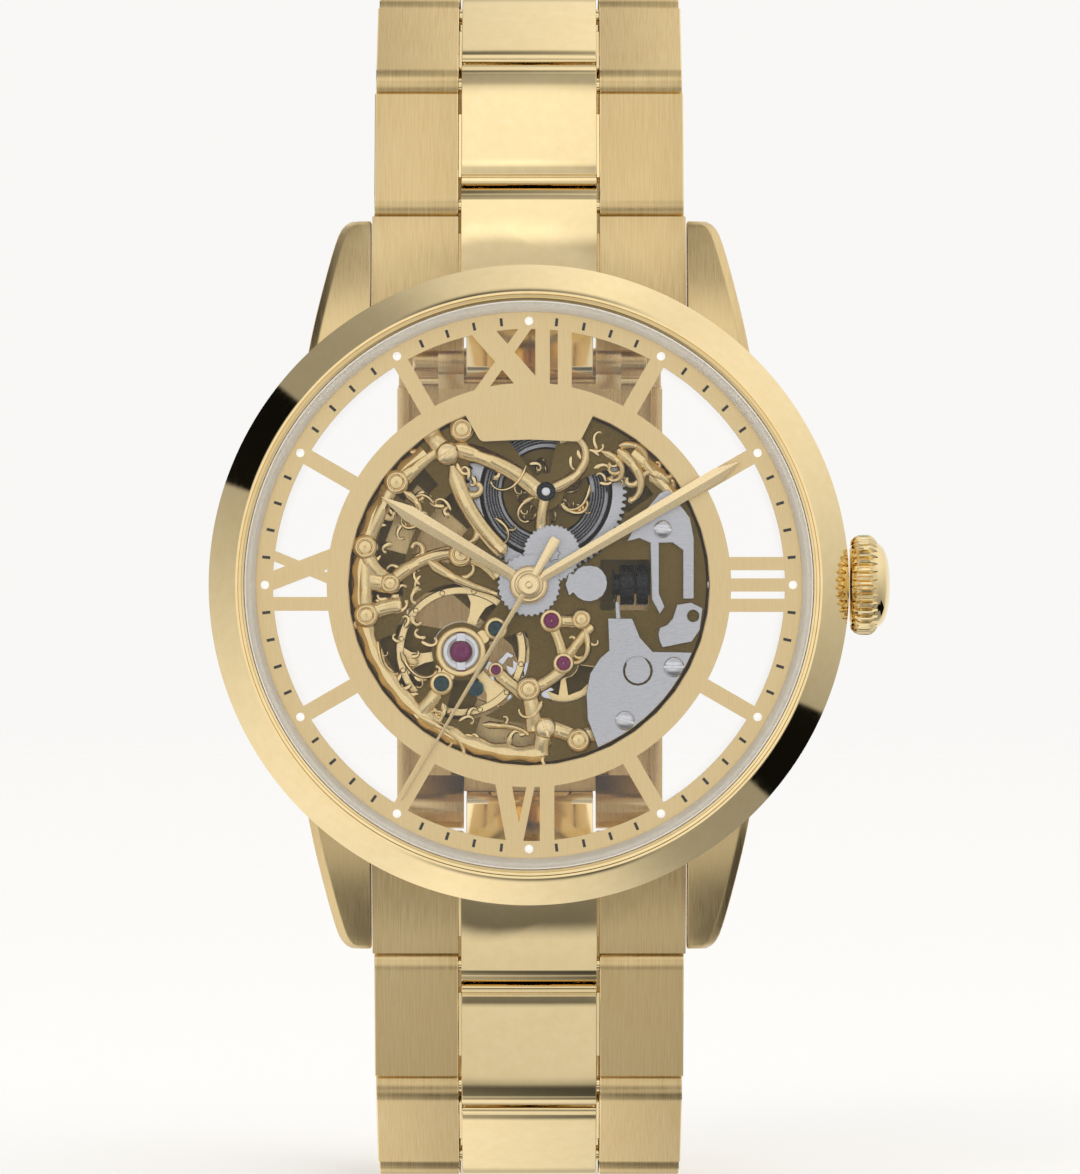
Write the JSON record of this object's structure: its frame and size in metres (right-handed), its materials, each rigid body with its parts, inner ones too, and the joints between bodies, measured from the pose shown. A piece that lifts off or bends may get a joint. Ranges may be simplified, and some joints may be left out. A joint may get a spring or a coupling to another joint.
{
  "type": "skeleton wristwatch",
  "caption": "Round automatic skeleton wristwatch with an open Roman-numeral dial, visible gear train, winding stem, and a link bracelet closed by a folding push-button clasp.",
  "frame": {"origin": "centre of the back glass's outer face, which lies against the wrist", "axes": "+Z towards 12 o'clock, +X towards the winding stem, -Y out of the dial, +Y into the wrist loop"},
  "size_m": [0.0469, 0.0569, 0.0844],
  "materials": {
    "polished_gold": "polished gold-tone plating on stainless steel",
    "brushed_gold": "brushed gold-tone plating on stainless steel",
    "dial_gold": "fine satin gold plating",
    "movement_gold": "gilt, cast relief with polished edges",
    "steel": "satin steel",
    "black_steel": "blackened steel",
    "sapphire_glass": "clear, polished"
  },
  "bodies": {
    "case": {"case_body": "brushed_gold", "bezel": "polished_gold", "crystal": "sapphire_glass", "flange_ring": "polished_gold", "caseback_ring": "polished_gold", "caseback_glass": "sapphire_glass", "movement_holder": "dial_gold", "crown_tube": "steel", "dial": "dial_gold", "mainplate": "movement_gold", "minute_wheel_cock": "steel", "train_cover_plate": "steel", "setting_lever_jumper": "steel", "train_bridge": "movement_gold", "balance_cock": "movement_gold", "hairspring": "steel", "end_link_12": "brushed_gold", "end_link_6": "brushed_gold"},
    "minutes": {"minute_hand": "polished_gold", "cannon_pinion": "steel", "center_wheel": "movement_gold"},
    "hours": {"hour_hand": "polished_gold", "hour_wheel": "steel"},
    "seconds": {"seconds_hand": "polished_gold", "seconds_arbor": "steel"},
    "minute_wheel": {"minute_wheel": "steel"},
    "third_wheel": {"third_wheel": "movement_gold"},
    "fourth_wheel": {"fourth_wheel": "movement_gold"},
    "escape_wheel": {"escape_wheel": "steel"},
    "barrel": {"barrel": "steel", "mainspring": "black_steel"},
    "barrel_arbor": {"barrel_arbor": "steel"},
    "pallet_fork": {"pallet_fork": "steel"},
    "balance": {"balance_wheel": "movement_gold"},
    "rotor": {"rotor": "brushed_gold"},
    "stem": {"stem": "steel"},
    "crown": {"crown": "polished_gold"},
    "winding_pinion": {"winding_pinion": "black_steel"},
    "clutch": {"clutch": "black_steel"},
    "setting_lever": {"setting_lever": "steel"},
    "yoke": {"yoke": "steel"},
    "link_12_1": {"link_12_1": "brushed_gold"},
    "link_12_2": {"link_12_2": "brushed_gold"},
    "link_12_3": {"link_12_3": "brushed_gold"},
    "link_12_4": {"link_12_4": "brushed_gold"},
    "link_12_5": {"link_12_5": "brushed_gold"},
    "link_12_6": {"link_12_6": "brushed_gold"},
    "link_12_7": {"link_12_7": "brushed_gold"},
    "link_6_1": {"link_6_1": "brushed_gold"},
    "link_6_2": {"link_6_2": "brushed_gold"},
    "link_6_3": {"link_6_3": "brushed_gold"},
    "link_6_4": {"link_6_4": "brushed_gold"},
    "link_6_5": {"link_6_5": "brushed_gold"},
    "link_6_6": {"link_6_6": "brushed_gold"},
    "link_6_7": {"link_6_7": "brushed_gold"},
    "clasp_inner_blade": {"clasp_inner_blade": "brushed_gold"},
    "clasp_middle_blade": {"clasp_middle_blade": "brushed_gold"},
    "clasp_cover": {"clasp_cover": "brushed_gold"},
    "clasp_button_left": {"clasp_button_left": "polished_gold"},
    "clasp_button_right": {"clasp_button_right": "polished_gold"}
  },
  "joints": [
    {"name": "minute_turn", "type": "hinge", "parent": "case", "child": "minutes", "pos_m": [0, -0.009, 0], "axis": [0, 1, 0], "continuous": true},
    {"name": "hour_turn", "type": "hinge", "parent": "case", "child": "hours", "pos_m": [0, -0.009, 0], "axis": [0, 1, 0], "continuous": true},
    {"name": "seconds_turn", "type": "hinge", "parent": "case", "child": "seconds", "pos_m": [0, -0.009, 0], "axis": [0, 1, 0], "continuous": true},
    {"name": "minute_wheel_turn", "type": "hinge", "parent": "case", "child": "minute_wheel", "pos_m": [0.00158, -0.0079, 0.00217], "axis": [0, 1, 0], "continuous": true},
    {"name": "third_wheel_turn", "type": "hinge", "parent": "case", "child": "third_wheel", "pos_m": [0.00153, -0.00385, -0.00245], "axis": [0, 1, 0], "continuous": true},
    {"name": "fourth_wheel_turn", "type": "hinge", "parent": "case", "child": "fourth_wheel", "pos_m": [0.00238, -0.0049, -0.00538], "axis": [0, 1, 0], "continuous": true},
    {"name": "escape_wheel_turn", "type": "hinge", "parent": "case", "child": "escape_wheel", "pos_m": [-0.0002, -0.00535, -0.00695], "axis": [0, 1, 0], "continuous": true},
    {"name": "barrel_turn", "type": "hinge", "parent": "case", "child": "barrel", "pos_m": [0.00117, -0.0053, 0.00643], "axis": [0, 1, 0], "continuous": true},
    {"name": "pallet_fork_rock", "type": "hinge", "parent": "case", "child": "pallet_fork", "pos_m": [-0.00228, -0.0053, -0.00584], "axis": [0, 1, 0], "range_deg": [-5, 5]},
    {"name": "balance_swing", "type": "hinge", "parent": "case", "child": "balance", "pos_m": [-0.00468, -0.0058, -0.00459], "axis": [0, 1, 0], "range_deg": [-270, 270], "stiffness_Nm_per_rad": 0.0000004},
    {"name": "rotor_turn", "type": "hinge", "parent": "case", "child": "rotor", "pos_m": [0, -0.0022, 0], "axis": [0, 1, 0], "continuous": true},
    {"name": "crown_pull", "type": "slide", "parent": "case", "child": "stem", "axis": [1, 0, 0], "range_m": [0, 0.0014]},
    {"name": "crown_turn", "type": "hinge", "parent": "stem", "child": "crown", "pos_m": [0.023, -0.0066, 0], "axis": [1, 0, 0], "continuous": true},
    {"name": "winding_pinion_turn", "type": "hinge", "parent": "case", "child": "winding_pinion", "pos_m": [0.0078, -0.0066, 0], "axis": [1, 0, 0], "continuous": true},
    {"name": "barrel_arbor_turn", "type": "hinge", "parent": "case", "child": "barrel_arbor", "pos_m": [0.00117, -0.0042, 0.00643], "axis": [0, 1, 0], "continuous": true},
    {"name": "clutch_slide", "type": "slide", "parent": "case", "child": "clutch", "axis": [1, 0, 0], "range_m": [-0.0005, 0]},
    {"name": "setting_lever_turn", "type": "hinge", "parent": "case", "child": "setting_lever", "pos_m": [0.0113, -0.00805, -0.00213], "axis": [0, 1, 0], "range_deg": [0, 7]},
    {"name": "yoke_turn", "type": "hinge", "parent": "case", "child": "yoke", "pos_m": [0.00749, -0.00778, -0.00591], "axis": [0, 1, 0], "range_deg": [-7, 0]},
    {"name": "link_12_1_turn", "type": "hinge", "parent": "case", "child": "link_12_1", "pos_m": [0, -0.0024, 0.0263], "axis": [1, 0, 0], "range_deg": [0, 12]},
    {"name": "link_12_2_turn", "type": "hinge", "parent": "link_12_1", "child": "link_12_2", "pos_m": [0, 0.00053, 0.03481], "axis": [1, 0, 0], "range_deg": [0, 40]},
    {"name": "link_12_3_turn", "type": "hinge", "parent": "link_12_2", "child": "link_12_3", "pos_m": [0, 0.00781, 0.0401], "axis": [1, 0, 0], "range_deg": [0, 37]},
    {"name": "link_12_4_turn", "type": "hinge", "parent": "link_12_3", "child": "link_12_4", "pos_m": [0, 0.01679, 0.04073], "axis": [1, 0, 0], "range_deg": [0, 27]},
    {"name": "link_12_5_turn", "type": "hinge", "parent": "link_12_4", "child": "link_12_5", "pos_m": [0, 0.02535, 0.03795], "axis": [1, 0, 0], "range_deg": [0, 24]},
    {"name": "link_12_6_turn", "type": "hinge", "parent": "link_12_5", "child": "link_12_6", "pos_m": [0, 0.03254, 0.03253], "axis": [1, 0, 0], "range_deg": [0, 22]},
    {"name": "link_12_7_turn", "type": "hinge", "parent": "link_12_6", "child": "link_12_7", "pos_m": [0, 0.03783, 0.02525], "axis": [1, 0, 0], "range_deg": [0, 21]},
    {"name": "link_6_1_turn", "type": "hinge", "parent": "case", "child": "link_6_1", "pos_m": [0, -0.0024, -0.0263], "axis": [-1, 0, 0], "range_deg": [0, 12]},
    {"name": "link_6_2_turn", "type": "hinge", "parent": "link_6_1", "child": "link_6_2", "pos_m": [0, 0.00053, -0.03481], "axis": [-1, 0, 0], "range_deg": [0, 40]},
    {"name": "link_6_3_turn", "type": "hinge", "parent": "link_6_2", "child": "link_6_3", "pos_m": [0, 0.00781, -0.0401], "axis": [-1, 0, 0], "range_deg": [0, 37]},
    {"name": "link_6_4_turn", "type": "hinge", "parent": "link_6_3", "child": "link_6_4", "pos_m": [0, 0.01679, -0.04073], "axis": [-1, 0, 0], "range_deg": [0, 27]},
    {"name": "link_6_5_turn", "type": "hinge", "parent": "link_6_4", "child": "link_6_5", "pos_m": [0, 0.02535, -0.03795], "axis": [-1, 0, 0], "range_deg": [0, 24]},
    {"name": "link_6_6_turn", "type": "hinge", "parent": "link_6_5", "child": "link_6_6", "pos_m": [0, 0.03254, -0.03253], "axis": [-1, 0, 0], "range_deg": [0, 22]},
    {"name": "link_6_7_turn", "type": "hinge", "parent": "link_6_6", "child": "link_6_7", "pos_m": [0, 0.03783, -0.02525], "axis": [-1, 0, 0], "range_deg": [0, 21]},
    {"name": "clasp_pin_turn", "type": "hinge", "parent": "link_12_7", "child": "clasp_inner_blade", "pos_m": [0, 0.0409, 0.01679], "axis": [1, 0, 0], "range_deg": [0, 25]},
    {"name": "clasp_blade_turn", "type": "hinge", "parent": "clasp_inner_blade", "child": "clasp_middle_blade", "pos_m": [0, 0.0417, -0.0133], "axis": [-1, 0, 0], "range_deg": [0, 140]},
    {"name": "clasp_cover_turn", "type": "hinge", "parent": "clasp_middle_blade", "child": "clasp_cover", "pos_m": [0, 0.043, 0.0134], "axis": [1, 0, 0], "range_deg": [0, 140]},
    {"name": "button_left_press", "type": "slide", "parent": "clasp_cover", "child": "clasp_button_left", "axis": [1, 0, 0], "range_m": [0, 0.0005], "stiffness_N_per_m": 300},
    {"name": "button_right_press", "type": "slide", "parent": "clasp_cover", "child": "clasp_button_right", "axis": [-1, 0, 0], "range_m": [0, 0.0005], "stiffness_N_per_m": 300}
  ],
  "couplings": [
    {"joint": "hour_turn", "follows": "minute_turn", "ratio": 0.083333},
    {"joint": "seconds_turn", "follows": "minute_turn", "ratio": 60},
    {"joint": "minute_wheel_turn", "follows": "minute_turn", "ratio": -0.33333},
    {"joint": "third_wheel_turn", "follows": "minute_turn", "ratio": -7.5},
    {"joint": "fourth_wheel_turn", "follows": "minute_turn", "ratio": 40},
    {"joint": "escape_wheel_turn", "follows": "minute_turn", "ratio": -540},
    {"joint": "barrel_turn", "follows": "minute_turn", "ratio": -0.16667},
    {"joint": "winding_pinion_turn", "follows": "crown_turn", "ratio": 1},
    {"joint": "barrel_arbor_turn", "follows": "crown_turn", "ratio": 0.33333},
    {"joint": "clutch_slide", "follows": "crown_pull", "ratio": -0.35},
    {"joint": "setting_lever_turn", "follows": "crown_pull", "rad_per_m": 85},
    {"joint": "yoke_turn", "follows": "crown_pull", "rad_per_m": -74},
    {"joint": "clasp_cover_turn", "follows": "clasp_blade_turn", "ratio": 1}
  ]
}
